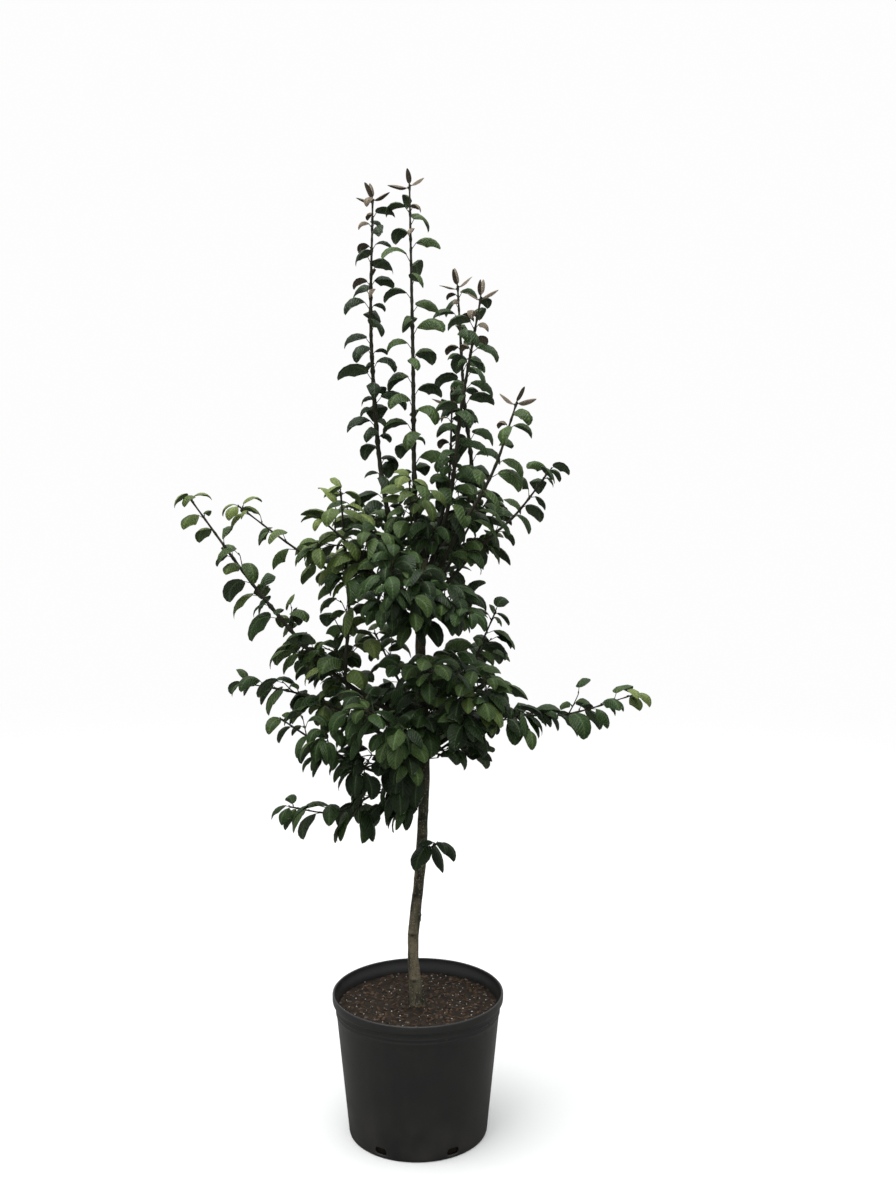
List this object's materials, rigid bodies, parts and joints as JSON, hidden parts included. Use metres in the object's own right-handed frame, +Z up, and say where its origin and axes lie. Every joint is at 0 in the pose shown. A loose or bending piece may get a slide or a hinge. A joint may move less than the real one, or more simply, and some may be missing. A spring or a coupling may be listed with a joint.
{
  "type": "potted bosc pear tree",
  "caption": "Slender young pear tree in a round black nursery pot: a bare trunk, upright leafy leaders and loose side boughs, standing on the pot's flat underside.",
  "frame": {"origin": "centre of the pot's flat underside", "axes": "+Z up the trunk, -Y towards the front of the tree, +X to the right as seen from the front"},
  "size_m": [0.9566, 0.5097, 1.9679],
  "materials": {
    "pot_plastic": "satin",
    "potting_mix": "matte",
    "bark": "matte",
    "shoot_bark": "matte",
    "leaf": "satin"
  },
  "bodies": {
    "root": {"pot": "pot_plastic", "potting_mix": "potting_mix", "trunk": "bark", "central_leader_bough": "shoot_bark", "central_leader_leaves": "leaf", "left_leader_bough": "shoot_bark", "left_leader_leaves": "leaf", "right_leader_bough": "shoot_bark", "right_leader_leaves": "leaf", "back_right_leader_bough": "shoot_bark", "back_right_leader_leaves": "leaf", "right_upper_bough": "shoot_bark", "right_upper_leaves": "leaf", "inner_right_leader_leaves": "leaf", "far_right_upper_bough": "shoot_bark", "far_right_upper_leaves": "leaf", "left_upper_bough": "shoot_bark", "left_upper_leaves": "leaf", "left_sprout_bough": "shoot_bark", "left_sprout_leaves": "leaf", "far_left_bough": "shoot_bark", "far_left_leaves": "leaf", "left_low_bough": "shoot_bark", "left_low_leaves": "leaf", "left_bottom_bough": "shoot_bark", "left_bottom_leaves": "leaf", "far_right_bough": "shoot_bark", "far_right_leaves": "leaf", "right_middle_bough": "shoot_bark", "right_middle_leaves": "leaf", "left_inner_bough": "shoot_bark", "left_inner_leaves": "leaf", "front_upper_bough": "shoot_bark", "front_upper_leaves": "leaf", "back_left_upper_bough": "shoot_bark", "back_left_upper_leaves": "leaf", "back_upper_bough": "shoot_bark", "back_upper_leaves": "leaf", "back_right_upper_bough": "shoot_bark", "back_right_upper_leaves": "leaf", "back_left_low_bough": "shoot_bark", "back_left_low_leaves": "leaf", "back_right_low_bough": "shoot_bark", "back_right_low_leaves": "leaf", "left_low_front_bough": "shoot_bark", "left_low_front_leaves": "leaf", "front_left_low_bough": "shoot_bark", "front_left_low_leaves": "leaf", "front_right_upper_leaves": "leaf", "right_front_low_bough": "shoot_bark", "right_front_low_leaves": "leaf", "back_low_bough": "shoot_bark", "back_low_leaves": "leaf", "front_low_leaves": "leaf", "front_bottom_leaves": "leaf", "right_bottom_leaves": "leaf", "front_left_bottom_leaves": "leaf", "front_leader_leaves": "leaf", "left_back_middle_leaves": "leaf", "trunk_sprout_leaves": "leaf"}
  },
  "joints": []
}
